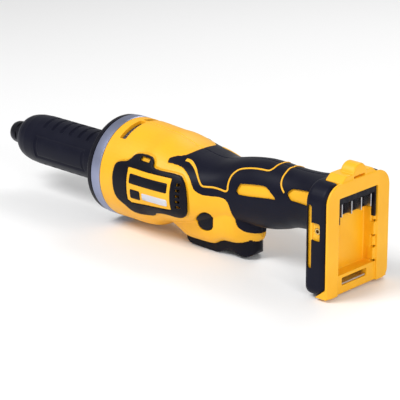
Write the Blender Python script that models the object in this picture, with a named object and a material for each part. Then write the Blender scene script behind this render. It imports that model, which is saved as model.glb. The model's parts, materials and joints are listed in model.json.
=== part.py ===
"""Cordless straight die grinder, bare tool.

Drawn in millimetres: the spindle axis is the X axis, with the collet at -X and X = 0 on the rear face of the
battery foot. Z is up and the clamshells part on Y = 0. The scene is in metres, and its origin is where the
spindle axis meets the floor of the battery bay.
"""

import math

import bmesh
import bpy
from mathutils import Matrix, Vector

MM = 0.001
ORIGIN_X = -12.0  # the floor of the battery bay, where the scene has its origin
GAP = 0.3  # clearance between neighbouring solids

# Driving dimensions
BARREL_R = 44.0
RING_FRONT, RING_REAR = -260.0, -249.0
FLANGE_FRONT = -266.0
NOSE_TIP = -405.0
BOOT_FRONT, BOOT_R = -386.0, 22.4
NUT_R, SHAFT_R = 10.2, 5.0
FOOT_HALF_WIDTH, FOOT_TOP, FOOT_BOTTOM = 38.5, 46.0, -47.0
FOOT_FRONT, RECEIVER_FRONT = -24.0, -16.7
BAY_HALF_WIDTH, BAY_TOP, BAY_DEPTH = 24.0, 34.0, 12.0
TRIGGER_PIVOT = (-168.0, -33.0)
TRIGGER_HALF_WIDTH = 13.2
TRIGGER_REAR, TRIGGER_ROUND = -103.5, 20.0
PIN_HALF = 16.5
GUARD_WALL = 3.0
BUTTON_CENTRE = (-142.9, -18.5)
CLIP = (-12.4, 7.5)  # the threaded inserts for a belt clip
GRIP_THICK = 2.0
WALL = 3.0

# Housing stations: x, top z, bottom z, half width, squareness
STATIONS = (
    (-248.7, 44.0, -44.0, 44.0, 2.0),
    (-232.0, 44.0, -44.0, 44.0, 2.0),
    (-216.0, 43.0, -44.0, 44.0, 2.0),
    (-206.0, 42.2, -42.4, 43.9, 2.0),
    (-197.0, 41.6, -37.8, 43.8, 2.05),
    (-188.0, 39.4, -34.8, 43.6, 2.1),
    (-174.0, 35.4, -32.0, 42.8, 2.15),
    (-160.0, 33.2, -29.0, 40.6, 2.2),
    (-150.0, 31.5, -27.0, 37.0, 2.2),
    (-140.0, 31.5, -25.0, 32.6, 2.2),
    (-130.0, 33.4, -23.0, 28.8, 2.2),
    (-120.0, 36.0, -20.5, 26.2, 2.2),
    (-107.0, 38.6, -19.0, 24.2, 2.2),
    (-94.0, 40.2, -18.0, 23.2, 2.2),
    (-81.0, 40.2, -16.2, 22.8, 2.2),
    (-68.0, 39.5, -12.8, 22.3, 2.2),
    (-56.0, 39.2, -8.8, 22.0, 2.2),
    (-40.0, 40.0, -7.0, 22.6, 2.3),
    (-23.0, 43.0, -8.0, 26.0, 2.4),
)
# Under the waist, the trigger guard: x, bottom z, half width
GUARD_STATIONS = (
    (-194.0, -31.0, 22.0),
    (-186.0, -35.5, 23.5),
    (-178.0, -38.5, 24.5),
    (-170.0, -42.0, 25.2),
    (-155.0, -42.2, 25.6),
    (-141.0, -41.5, 25.2),
    (-136.0, -39.0, 24.9),
    (-130.0, -36.4, 24.3),
    (-118.0, -36.2, 21.5),
    (-112.0, -36.0, 17.4),
    (-107.0, -35.2, 12.4),
    (-103.0, -33.0, 8.0),
    (-99.5, -29.0, 4.0),
)
GUARD_TOP, GUARD_POWER = 8.0, 4.4
AROUND = 28  # points round a housing section

COLOURS = {
    "yellow": ((0.95, 0.55, 0.02), 0.45, 0.0),
    "black": ((0.02, 0.02, 0.028), 0.55, 0.0),
    "rubber": ((0.018, 0.018, 0.025), 0.75, 0.0),
    "steel": ((0.62, 0.62, 0.64), 0.3, 1.0),
    "alloy": ((0.45, 0.46, 0.52), 0.4, 0.8),
    "dark_steel": ((0.06, 0.06, 0.065), 0.4, 0.9),
    "copper": ((0.75, 0.33, 0.16), 0.35, 1.0),
    "brass": ((0.75, 0.58, 0.25), 0.3, 1.0),
    "board": ((0.02, 0.22, 0.08), 0.5, 0.0),
    "potting": ((0.09, 0.09, 0.1), 0.6, 0.0),
}


def clear_scene():
    for obj in list(bpy.data.objects):
        bpy.data.objects.remove(obj)


def material(name):
    if name in bpy.data.materials:
        return bpy.data.materials[name]
    colour, roughness, metallic = COLOURS[name]
    made = bpy.data.materials.new(name)
    made.use_nodes = True
    shader = made.node_tree.nodes["Principled BSDF"]
    shader.inputs["Base Color"].default_value = (*colour, 1.0)
    shader.inputs["Roughness"].default_value = roughness
    shader.inputs["Metallic"].default_value = metallic
    return made


def add(name, verts, faces, finish, smooth=40.0):
    """An object from points in millimetres and faces, with outward normals."""
    mesh = bpy.data.meshes.new(name)
    mesh.from_pydata([Vector((x - ORIGIN_X, y, z)) * MM for x, y, z in verts], [], faces)
    work = bmesh.new()
    work.from_mesh(mesh)
    bmesh.ops.recalc_face_normals(work, faces=work.faces)
    work.to_mesh(mesh)
    work.free()
    mesh.shade_smooth()
    mesh.set_sharp_from_angle(angle=math.radians(smooth))
    obj = bpy.data.objects.new(name, mesh)
    bpy.context.scene.collection.objects.link(obj)
    if finish:
        mesh.materials.append(material(finish))
    return obj


def set_origin(obj, x, z):
    """Moves an object's origin to a point of the plane Y = 0 and leaves its shape where it is."""
    home = Vector((x - ORIGIN_X, 0.0, z)) * MM
    obj.data.transform(Matrix.Translation(-home))
    obj.location = home


def hide(obj):
    obj.hide_render = True
    obj.display_type = "WIRE"
    return obj


def boolean(target, other, operation):
    modifier = target.modifiers.new(f"{operation.lower()}_{other.name}"[:60], "BOOLEAN")
    modifier.operation = operation
    modifier.solver = "EXACT"
    modifier.object = hide(other)
    return target


def cut(target, *others):
    for other in others:
        boolean(target, other, "DIFFERENCE")
    return target


def join(target, *others):
    for other in others:
        boolean(target, other, "UNION")
    return target


def keep(target, *others):
    for other in others:
        boolean(target, other, "INTERSECT")
    return target


def bevel(obj, width, segments=2, angle=35.0):
    modifier = obj.modifiers.new("bevel", "BEVEL")
    modifier.width = width * MM
    modifier.segments = segments
    modifier.limit_method = "ANGLE"
    modifier.angle_limit = math.radians(angle)
    return obj


def box(name, x, y, z, finish=None):
    """A box between the pairs x, y and z."""
    verts = [(a, b, c) for a in x for b in y for c in z]
    faces = [(0, 1, 3, 2), (4, 6, 7, 5), (0, 4, 5, 1), (2, 3, 7, 6), (0, 2, 6, 4), (1, 5, 7, 3)]
    return add(name, verts, faces, finish)


def prism(name, outline, low, high, axis="Y", finish=None, smooth=40.0):
    """An outline extruded along an axis. The outline's pairs are (x, z) for Y, (y, z) for X and (x, y) for Z."""
    place = {
        "X": lambda p, d: (d, p[0], p[1]),
        "Y": lambda p, d: (p[0], d, p[1]),
        "Z": lambda p, d: (p[0], p[1], d),
    }[axis]
    n = len(outline)
    verts = [place(p, d) for d in (low, high) for p in outline]
    faces = [tuple(range(n)), tuple(range(2 * n - 1, n - 1, -1))]
    faces += [(i, (i + 1) % n, n + (i + 1) % n, n + i) for i in range(n)]
    return add(name, verts, faces, finish, smooth)


def turned(name, profile, finish=None, segments=32, centre=(0.0, 0.0), smooth=40.0):
    """A solid turned about an axis along X. The profile is (x, r) pairs: closed round if no r is 0, else pole to pole."""
    solid = profile[0][1] == 0
    rings = profile[1:-1] if solid else profile
    angles = [2 * math.pi * k / segments for k in range(segments)]
    verts = [
        (x, centre[0] + r * math.cos(a), centre[1] + r * math.sin(a)) for x, r in rings for a in angles
    ]
    count = len(rings)
    faces = []
    for i in range(count - 1 if solid else count):
        j = (i + 1) % count
        for k in range(segments):
            m = (k + 1) % segments
            faces.append((i * segments + k, i * segments + m, j * segments + m, j * segments + k))
    if solid:
        faces.append(tuple(range(segments)))
        faces.append(tuple((count - 1) * segments + k for k in range(segments)))
    return add(name, verts, faces, finish, smooth)


def tube(name, x, outer, inner, finish=None, segments=32):
    return turned(name, [(x[0], outer), (x[1], outer), (x[1], inner), (x[0], inner)], finish, segments)


def rod(name, x, r, finish=None, segments=24, centre=(0.0, 0.0)):
    return turned(name, [(x[0], 0), (x[0], r), (x[1], r), (x[1], 0)], finish, segments, centre)


def cross_rod(name, centre, y, r, finish=None, segments=16):
    """A rod along Y, centred at (x, z)."""
    outline = [
        (centre[0] + r * math.cos(2 * math.pi * k / segments), centre[1] + r * math.sin(2 * math.pi * k / segments))
        for k in range(segments)
    ]
    return prism(name, outline, y[0], y[1], "Y", finish)


def station_at(x):
    """The housing section at x, by a Catmull-Rom curve through the stations."""
    rows = STATIONS
    x = min(max(x, rows[0][0]), rows[-1][0])
    i = max(k for k in range(len(rows) - 1) if rows[k][0] <= x)
    before, a, b, after = rows[max(i - 1, 0)], rows[i], rows[i + 1], rows[min(i + 2, len(rows) - 1)]
    span = b[0] - a[0]
    t = (x - a[0]) / span
    found = []
    for k in range(1, 5):
        left = (b[k] - before[k]) / (b[0] - before[0]) * span
        right = (after[k] - a[k]) / (after[0] - a[0]) * span
        found.append(
            (2 * t**3 - 3 * t**2 + 1) * a[k] + (t**3 - 2 * t**2 + t) * left
            + (3 * t**2 - 2 * t**3) * b[k] + (t**3 - t**2) * right
        )
    return found


def section(x, offset):
    """Points round the housing at x, moved in by offset."""
    top, bottom, width, power = station_at(x)
    centre, height, width = (top + bottom) / 2, (top - bottom) / 2 - offset, width - offset
    points = []
    for k in range(AROUND):
        a = 2 * math.pi * (k + 0.5) / AROUND
        c, s = math.cos(a), math.sin(a)
        y = width * math.copysign(abs(c) ** (2 / power), c)
        z = centre + height * math.copysign(abs(s) ** (2 / power), s)
        points.append((x, y, z))
    return points


def skin(name, rows, finish=None, smooth=50.0):
    """A solid through rows of points, each row closed round and the two ends capped."""
    n, last = len(rows[0]), len(rows) - 1
    verts = [p for row in rows for p in row]
    faces = [tuple(range(n)), tuple(range(last * n, (last + 1) * n))]
    for i in range(last):
        for k in range(n):
            m = (k + 1) % n
            faces.append((i * n + k, i * n + m, (i + 1) * n + m, (i + 1) * n + k))
    return add(name, verts, faces, finish, smooth)


def loft(name, x, offset, steps, finish=None):
    """The housing's form between the pair x, moved in by offset, which may be a function of x."""
    inset = offset if callable(offset) else lambda _: offset
    places = [x[0] + (x[1] - x[0]) * i / steps for i in range(steps + 1)]
    return skin(name, [section(place, inset(place)) for place in places], finish)


def guard(name, inset=0.0):
    """The trigger guard's form under the waist, moved in by inset."""
    rows = []
    for i, (x, bottom, width) in enumerate(GUARD_STATIONS):
        x += inset if i == 0 else -inset if i == len(GUARD_STATIONS) - 1 else 0.0
        half, width = GUARD_TOP - bottom - inset, width - inset
        row = []
        for k in range(15):
            a = math.pi * k / 14
            c, d = math.cos(a), math.sin(a)
            y = width * math.copysign(abs(c) ** (2 / GUARD_POWER), c)
            row.append((x, y, GUARD_TOP - half * d ** (2 / GUARD_POWER)))
        rows.append(row)
    return skin(name, rows)


def rounded(y, z, radii, steps=4):
    """A rectangle between the pairs y and z with corner radii: low z low y, low z high y, high z high y, high z low y."""
    corners = ((y[0], z[0], 180), (y[1], z[0], 270), (y[1], z[1], 0), (y[0], z[1], 90))
    points = []
    for (cy, cz, start), r in zip(corners, radii):
        my, mz = cy + (r if cy == y[0] else -r), cz + (r if cz == z[0] else -r)
        for k in range(steps + 1):
            a = math.radians(start + 90 * k / steps)
            points.append((my + r * math.cos(a), mz + r * math.sin(a)))
    return points


def grip_inset():
    """Unit steps that move the grip's outline inwards."""
    steps = []
    for i, point in enumerate(GRIP):
        before, after = Vector(GRIP[i - 1]), Vector(GRIP[(i + 1) % len(GRIP)])
        along = (after - before).normalized()
        steps.append((along.y, -along.x))
    return steps


def trigger_plan(name, low, high, grown=0.0):
    """The trigger's outline from above, between two heights: straight sides and a rounded rear."""
    half, reach = TRIGGER_HALF_WIDTH + grown, TRIGGER_REAR - TRIGGER_ROUND + grown
    right = [(-176, half)]
    for k in range(9):
        a = math.pi / 2 * (1 - k / 8)
        right.append((reach + TRIGGER_ROUND * math.cos(a), max(1.0, half * math.sin(a) ** 0.9)))
    return prism(name, right + [(x, -y) for x, y in reversed(right)], low, high, "Z", None, 50)


def side_ranges(side):
    """The half space of one clamshell: side -1 is the left, at -Y."""
    return (-120.0, -GAP / 2) if side < 0 else (GAP / 2, 120.0)


# ---------------------------------------------------------------- outlines in side view, (x, z)
GRIP = (
    (-180, 29.3), (-176, 30.6), (-170, 31.6), (-167, 34), (-166.5, 60), (FOOT_FRONT - GAP - 0.7, 60),
    (FOOT_FRONT - GAP - 0.7, -34), (-80, -34), (-84, -17), (-91, -21.5), (-97.5, -24), (-104, -24.2),
    (-109.5, -22), (-113, -17.5), (-114.5, -10), (-116, 1.5), (-119, 6), (-124, 7.3), (-135.5, 7), (-141, 7.6),
    (-146, 10.3), (-149, 14.2), (-152, 18.3), (-157, 22.2), (-163, 25), (-172, 26.2), (-178.5, 26.3),
)
TRIGGER = (
    (-173.5, -36), (-175, -43), (-172, -47), (-167, -48), (-143, -48.5), (-136, -47), (-129, -43.5), (-124, -43),
    (-118, -44.8), (-113, -46.6), (-108, -46), (-104, -42), (-102, -35), (-102, -30), (-132, -29.5), (-136, -34),
)
COVER = (
    (-228, -12), (-219.5, -18), (-210.5, -23.3), (-192.5, -22.8), (-186, -18.5), (-174, -16.4), (-161, -17.4),
    (-154.5, -13.8), (-151.3, -7.3), (-150.6, 3), (-152.4, 11.4), (-156.7, 17.6), (-162.4, 20.4), (-186, 21.2),
    (-190, 25.5), (-195.8, 28.8), (-210.6, 28), (-215, 24), (-219, 21), (-228.2, 18.5), (-231, 13), (-231, 0),
)
BUTTON = (
    (-148.2, -15.6), (-143.3, -11), (-139, -9.3), (-135.4, -11), (-134.9, -16.5), (-135.6, -22.3), (-138.5, -25.4),
    (-143.3, -27), (-148.3, -26.2), (-151, -23), (-150.6, -19),
)
BADGE = ((-214, -11), (-210, -13), (-166, -10), (-166, 17), (-215, 17))
WINDOW_FRONT = (
    (-107, 12.8), (-76.8, 16), (-68.4, 17.1), (-74, 21.6), (-79, 24.6), (-86, 24.8), (-103, 22.4), (-106.6, 21),
)
WINDOW_REAR = ((-57.5, 24.4), (-54, 20.6), (-50, 19.8), (-20, 21.5), (-20, 31.5), (-50, 29.2), (-53.5, 28.4))


def button_outline(scale):
    """The lock button's outline, scaled about its centre."""
    cx, cz = BUTTON_CENTRE
    return [(cx + (x - cx) * scale, cz + (z - cz) * scale) for x, z in BUTTON]


# ---------------------------------------------------------------- the sub-assemblies
def nose():
    """Neck, boot, flange, ring and their screws."""
    ribs = [-353 + 11.3 * i for i in range(6)]
    body = [(x + d, BOOT_R) for x in ribs for d in (0.0, 0.5, 4.0, 4.5)]
    boot = turned(
        "neck_boot",
        [(BOOT_FRONT, 13.5), (BOOT_FRONT, 15.0), (-383.5, 18.0), (-378, 20.4), (-371, 21.8), (-361, BOOT_R), *body,
         (-276, BOOT_R), (FLANGE_FRONT - GAP, BOOT_R + 2.0), (FLANGE_FRONT - GAP, 18.3), (-377, 18.3), (-377, 13.5)],
        "rubber", 24, smooth=30,
    )
    panel = ribs[0] - 4, ribs[-1] + 4.6
    for vertex in boot.data.vertices:
        x, y, z = vertex.co / MM
        x += ORIGIN_X
        r = math.hypot(y, z)
        if r < BOOT_R - 0.2 or not panel[0] < x < panel[1]:
            continue
        in_groove = any(rib + 0.2 < x < rib + 4.2 for rib in ribs)
        on_side = abs(z) < 0.45 * r and ribs[0] - 0.2 < x < ribs[-1] + 4.8
        depth = 1.3 if in_groove and abs(z) > 0.8 * r else 0.7 if on_side else 0.0
        vertex.co.y *= (r - depth) / r
        vertex.co.z *= (r - depth) / r
    turned(
        "neck_tube",
        [(-385, 13.2), (-376.6, 13.2), (-376.6, 18.0), (-266, 18.0), (-266, 24.0), (-258, 24.0), (-258, 15.0),
         (-367, 15.0), (-367, 11.3), (-385, 11.3)],
        "black", 32,
    )
    flange = turned(
        "front_flange",
        [(FLANGE_FRONT, 24.3), (FLANGE_FRONT, 42.0), (FLANGE_FRONT + 1.5, 43.6), (RING_FRONT - GAP, 43.6),
         (RING_FRONT - GAP, 24.3)],
        "black", 36,
    )
    ring = turned(
        "flange_ring",
        [(RING_FRONT, 24.3), (RING_FRONT, 43.2), (RING_FRONT + 1, 44.2), (RING_REAR, 44.2), (RING_REAR, 40.5),
         (RING_REAR + 8, 40.5), (RING_REAR + 8, 37.5), (-256, 37.5), (-256, 24.3)],
        "alloy", 36,
    )
    for i in range(4):
        a = math.radians(45 + 90 * i)
        place = (35.0 * math.cos(a), 35.0 * math.sin(a))
        head_end = FLANGE_FRONT - 1.4
        turned(
            f"flange_screw_{i + 1}",
            [(head_end, 0), (head_end, 3.4), (FLANGE_FRONT + 1.6, 3.8), (FLANGE_FRONT + 1.6, 1.8), (-257, 1.8), (-257, 0)],
            "dark_steel", 12, place,
        )
        seat = turned(
            f"screw_seat_{i + 1}",
            [(-270, 0), (-270, 4.3), (FLANGE_FRONT + 2, 4.3), (FLANGE_FRONT + 2, 2.2), (-254, 2.2), (-254, 0)],
            None, 10, place,
        )
        cut(flange, seat)
        cut(ring, seat)


def spindle():
    """Everything that turns with the motor, and the bearings that carry it."""
    shaft = turned(
        "spindle_shaft",
        [(-400, 0), (-400, 6.2), (-382, 6.2), (-382, 7.5), (-380.3, 7.5), (-380.3, SHAFT_R), (-258, SHAFT_R),
         (-258, 4.0), (-250, 4.0), (-250, 0)],
        "steel", 24,
    )
    cut(shaft, turned("collet_taper", [(-403, 0), (-403, 4.6), (-387, 3.6), (-381, 3.4), (-381, 0)], None, 24))
    collet = turned("collet", [(-402.8, 3.05), (-402.8, 4.0), (-400, 4.2), (-387.5, 3.3), (-387.5, 3.05)], "steel", 24)
    for i in range(3):
        slit = box(f"collet_slit_{i + 1}", (-404, -390), (1.0, 9), (-0.3, 0.3))
        slit.rotation_euler = (math.radians(120 * i + 30), 0, 0)
        cut(collet, slit)
    nut = turned(
        "collet_nut",
        [(NOSE_TIP, 4.4), (NOSE_TIP, 7.6), (NOSE_TIP + 1.2, 9.0), (NOSE_TIP + 3, 9.9), (NOSE_TIP + 5.5, NUT_R),
         (-384.5, NUT_R), (-384.5, 6.6), (NOSE_TIP + 4, 6.6), (NOSE_TIP + 4, 4.4)],
        "dark_steel", 32,
    )
    for i in range(6):
        flat = box(f"nut_flat_{i + 1}", (-396, -389.5), (9.4, 14), (-8, 8))
        flat.rotation_euler = (math.radians(60 * i), 0, 0)
        cut(nut, flat)
    for name, x, outer, inner in (
        ("front_bearing", (-379.8, -371), 11.0, SHAFT_R),
        ("rear_neck_bearing", (-272, -262.5), 14.7, SHAFT_R),
        ("rotor_bearing", (-176, -169), 11.0, 4.0),
    ):
        turned(
            name,
            [(x[0], inner + GAP), (x[0], inner + 2.2), (x[0] + 1, inner + 2.6), (x[0] + 1, outer - 2.4),
             (x[0], outer - 2), (x[0], outer), (x[1], outer), (x[1], inner + GAP)],
            "steel", 28,
        )
    tube("nose_seal", (-382.6, -380.1), 11.0, 8.0, "rubber", 28)
    tube("neck_spacer", (-366.6, -357), 14.7, 6.0, "alloy", 28)
    tube("shaft_coupling", (-257.5, -245), 7.5, 4.0 + GAP, "alloy", 24)
    rod("rotor_shaft", (-249.6, -166), 4.0, "steel", 20)
    tube("rotor_core", (-226, -192), 14.5, 4.0 + GAP, "dark_steel", 32)
    fan = turned("fan", [(-243, 4.3), (-243, 10), (-240.5, 36), (-239, 36), (-239.5, 10), (-233, 8), (-233, 4.3)], "black", 32)
    for i in range(9):
        blade = box(f"fan_blade_{i + 1}", (-239.3, -231), (14, 35), (-0.9, 0.9))
        blade.rotation_euler = (math.radians(40 * i), 0, 0)
        join(fan, blade)


def motor():
    """The stator, its coils, the sensor board and the rear bearing holder."""
    core = tube("stator_core", (-224, -194), 30.0, 25.2, "dark_steel", 28)
    coils = tube("stator_coils", (-227.5, -190.5), 24.6, 17.6, "copper", 28)
    for i in range(6):
        a = math.radians(60 * i)
        tooth = box(f"stator_tooth_{i + 1}", (-224, -194), (15.6, 27), (-2.6, 2.6))
        tooth.rotation_euler = (a, 0, 0)
        join(core, tooth)
        slot = box(f"coil_slot_{i + 1}", (-225, -193), (14, 27), (-2.9, 2.9))
        slot.rotation_euler = (a, 0, 0)
        cut(coils, slot)
    tube("stator_insulator", (-230.5, -228), 29.0, 17.0, "black", 28)
    tube("sensor_board", (-189.8, -188), 26.0, 8.0, "board", 28)
    turned(
        "rotor_bearing_holder",
        [(-187.5, 11.3), (-187.5, 28.5), (-183, 28.5), (-183, 14.5), (-168.6, 14.5), (-168.6, 6), (-169 + GAP, 6), (-168.7, 11.3)],
        "black", 32,
    )


def housing(side):
    """One clamshell of the yellow housing, with its rubber grip and foot bumper."""
    tag = "left" if side < 0 else "right"
    reach = side_ranges(side)
    half = (-300, 60), reach, (-120, 120)

    shell = loft(f"housing_{tag}", (-248.7, -20.4), 0, 30, "yellow")
    foot_outline = rounded((-36.0, 36.0), (FOOT_BOTTOM + 2.5, FOOT_TOP - 2.5), (6, 6, 13, 13))
    foot = prism(f"foot_shell_{tag}", foot_outline, -21.7, RECEIVER_FRONT - GAP, "X")
    join(shell, guard(f"guard_{tag}"), foot)
    # the step that the rubber fills: everything in the grip outline outside the inner surface
    step = prism(f"grip_step_{tag}", GRIP, -80, 80)
    cut(step, loft(f"grip_seat_{tag}", (-190, -20), GRIP_THICK + GAP, 24), guard(f"guard_seat_{tag}", GRIP_THICK + GAP))
    cut(shell, step)
    # inside
    inner = loft(
        f"cavity_{tag}", (-260, -15), lambda x: WALL if x < -186 else min(5.4, WALL + (x + 186) * 0.12), 26
    )
    foot_cavity = prism(f"foot_cavity_{tag}", rounded((-33.0, 33.0), (-42, 40), (4, 4, 10, 10)), -19.2, -10, "X")
    trigger_bay = trigger_plan(f"trigger_bay_{tag}", -60, -15, 0.9)
    plunger_window = box(f"plunger_window_{tag}", (-129, -112.5), (-5.5, 5.5), (-22, -8.5))
    pin_seat = cross_rod(f"pin_seat_{tag}", TRIGGER_PIVOT, (-PIN_HALF - GAP, PIN_HALF + GAP), 2.2, None, 16)
    cut(shell, inner, foot_cavity)
    for i, (x, radius) in enumerate(((-221, 31.0), (-200, 31.0), (-186.4, 29.4))):
        rib = tube(f"motor_rib_{i + 1}_{tag}", (x, x + 2.4), 60, radius, None, 20)
        join(shell, keep(rib, loft(f"rib_limit_{i + 1}_{tag}", (x - 3, x + 6), 1.5, 3)))
    cut(shell, trigger_bay, plunger_window, pin_seat)
    # openings: lock button, exhaust slot, air intake behind the cover
    cut(
        shell,
        prism(f"button_hole_{tag}", button_outline(1.07), -60, 60),
        box(f"exhaust_{tag}", (-240, -233), (-23, 23), (20, 60)),
        box(f"intake_{tag}", (-163, -155), (side * 60, side * 20) if side < 0 else (20, 60), (-8, 15)),
    )
    keep(shell, box(f"half_{tag}", *half))

    grip = loft(f"grip_{tag}", (-189, FOOT_FRONT - GAP - 1), 0, 26, "rubber")
    join(grip, guard(f"grip_bulge_{tag}"))
    outline = [(x + GAP * i, z + GAP * k) for (x, z), (i, k) in zip(GRIP, grip_inset())]
    keep(grip, prism(f"grip_outline_{tag}", outline, -80, 80))
    cut(grip, loft(f"grip_inner_{tag}", (-192, -20), GRIP_THICK, 24), guard(f"bulge_inner_{tag}", GRIP_THICK))
    cut(grip, trigger_plan(f"trigger_room_{tag}", -60, -18, 0.9))
    for label, outline in (("front", WINDOW_FRONT), ("rear", WINDOW_REAR)):
        window = prism(f"window_{label}_{tag}", outline, side * 60, side * 8)
        cut(grip, window)
    keep(grip, box(f"grip_half_{tag}", *half))

    bumper_outline = rounded((-FOOT_HALF_WIDTH, FOOT_HALF_WIDTH), (FOOT_BOTTOM, FOOT_TOP), (8, 8, 16, 16))
    bumper = bevel(prism(f"foot_bumper_{tag}", bumper_outline, FOOT_FRONT, -2.3, "X", "rubber"), 5.0, 3, 60)
    inner_outline = rounded((-36.3, 36.3), (FOOT_BOTTOM + 2.2, FOOT_TOP - 2.2), (6, 6, 13.3, 13.3))
    cut(bumper, prism(f"bumper_inner_{tag}", inner_outline, -22.0, 5, "X"))
    cut(bumper, loft(f"handle_room_{tag}", (-40, -15), -GAP, 10))
    # the lower rear corner is cut back along a slant, and the rear of the top makes room for the hump
    cut(bumper, prism(f"bumper_slant_{tag}", ((-14, -60), (-14, -47.5), (-1, -37), (6, -37), (6, -60)), -60, 60))
    slot = prism(f"side_slot_{tag}", [(b, a) for a, b in rounded((-24, 29), (-21, -16.5), (2.2,) * 4)], side * 60, side * 30)
    pocket = box(f"clip_pocket_{tag}", (-16.6, -8.4), (side * 60, side * 30) if side < 0 else (30, 60), (0, 15))
    cut(bumper, slot, pocket)
    cut(bumper, box(f"hump_room_{tag}", (RECEIVER_FRONT - GAP, 6), (-22.6, 22.6), (40, 70)))
    keep(bumper, box(f"bumper_half_{tag}", *half))

    insert = cross_rod(f"clip_insert_{tag}", CLIP, (-35.7, -29) if side < 0 else (29, 35.7), 2.6, "brass", 16)
    bore = cross_rod(f"clip_thread_{tag}", CLIP, (-37, -30.5) if side < 0 else (30.5, 37), 1.6, None, 12)
    cut(insert, bore)


def covers(side):
    """The clip-on intake cover, its badge plate and the dust screen behind it."""
    tag = "left" if side < 0 else "right"
    reach = (-80, -20) if side < 0 else (20, 80)
    cover = loft(f"vent_cover_{tag}", (-236, -146), -2.0, 12, "black")
    cut(cover, loft(f"cover_inner_{tag}", (-240, -142), -GAP, 14))
    keep(cover, prism(f"cover_outline_{tag}", COVER, *reach))
    frame_window = [(x + math.copysign(0.3, x + 190), z + math.copysign(0.3, z)) for x, z in BADGE]
    cut(cover, prism(f"badge_window_{tag}", frame_window, *reach))
    for i in range(5):
        z = 13 - 4.8 * i
        cut(cover, box(f"cover_slot_{tag}_{i + 1}", (-161, -156.5), reach, (z - 1.2, z + 1.2)))
    cut(cover, box(f"cover_tab_{tag}", (-205, -194), reach, (24, 27.5)))

    badge = loft(f"badge_{tag}", (-218, -162), -1.6, 14, "yellow")
    cut(badge, loft(f"badge_inner_{tag}", (-222, -158), -GAP, 16))
    keep(badge, prism(f"badge_outline_{tag}", BADGE, *reach))

    screen = loft(f"dust_screen_{tag}", (-166, -152), 5.8, 6, "steel")
    cut(screen, loft(f"screen_inner_{tag}", (-170, -148), 6.6, 6))
    keep(screen, box(f"screen_span_{tag}", (-165, -153), reach, (-10, 17)))


def receiver():
    """The battery receiver at the rear, its terminals and latch strike."""
    body = prism(
        "battery_receiver", rounded((-FOOT_HALF_WIDTH, FOOT_HALF_WIDTH), (FOOT_BOTTOM, FOOT_TOP), (7, 7, 15, 15)),
        -2.0, 0.0, "X", "yellow",
    )
    core = prism(
        "receiver_core", rounded((-36.0, 36.0), (FOOT_BOTTOM + 2.5, FOOT_TOP - 2.5), (6, 6, 13, 13)), RECEIVER_FRONT, -1.0, "X"
    )
    corner = prism("receiver_corner", ((-12.6, -47), (-1.0, -37.7), (-1.0, -47)), -38.2, 38.2)
    hump = prism(
        "receiver_hump", ((-22, 40), (-22, 46), (-16, 50.5), (16, 50.5), (22, 46), (22, 40)), RECEIVER_FRONT, -0.4, "X"
    )
    boss = turned(
        "receiver_boss", [(-13.5, 0), (-13.5, 7.5), (-12, 8.8), (-1, 8.8), (0, 8.0), (0, 0)], None, 24, (0, 49.0)
    )
    join(body, core, corner, hump, boss)
    cut(body, box("boss_slot", (-4, 2), (-7, 7), (46.4, 48.2)))
    mouth = box("bay_mouth", (-5.0, 3), (-BAY_HALF_WIDTH, BAY_HALF_WIDTH), (-31, BAY_TOP))
    sill = box("bay_sill", (-2.0, 3), (-BAY_HALF_WIDTH, BAY_HALF_WIDTH), (-60, -30))
    floor = box("bay_floor", (-BAY_DEPTH, -3), (-21, 21), (-31, BAY_TOP))
    channels = [box(f"bay_channel_{i}", (-4.8, -2.4), y, (-42, 10)) for i, y in enumerate(((-28.5, -23), (23, 28.5)))]
    latch = box("latch_slot", (-BAY_DEPTH - 1.0, -1), (-17, 14), (-40.5, -34))
    # the terminal block passes through the floor
    through = box("terminal_port", (-20, -3), (-BAY_HALF_WIDTH + 0.5, BAY_HALF_WIDTH - 0.5), (15, BAY_TOP - 0.5))
    seats = [
        cross_rod(f"clip_seat_{i}", CLIP, y, 2.9, None, 16) for i, y in enumerate(((-40, -28.7), (28.7, 40)))
    ]
    cut(body, mouth, sill, floor, *channels, latch, through, *seats)

    block = box("terminal_block", (-18.5, -9.5), (-23.2, 23.2), (15.3, 33.2), "black")
    top_bar = box("terminal_top_bar", (-10, -1.5), (-23.2, 23.2), (28.5, 33.2))
    cheek_left = box("terminal_cheek_left", (-4.7, -1.5), (-23.2, -21.4), (12, 30))
    cheek_right = box("terminal_cheek_right", (-4.7, -1.5), (21.4, 23.2), (8, 30))
    join(block, top_bar, cheek_left, cheek_right)
    for i, y in enumerate((-18, -6, 6, 18)):
        cut(block, box(f"blade_slot_{i + 1}", (-30, -8), (y - 0.8, y + 0.8), (16.7, 27.8)))
        box(f"terminal_blade_{i + 1}", (-21, -2.5), (y - 0.5, y + 0.5), (17, 27.5), "steel")

    prism(
        "latch_strike", ((-8.6, -40.2), (-3.3, -40.2), (-3.3, -39.0), (-7.5, -37.2), (-8.6, -37.2)), -16.6, 13.6,
        "Y", "steel",
    )


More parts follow.
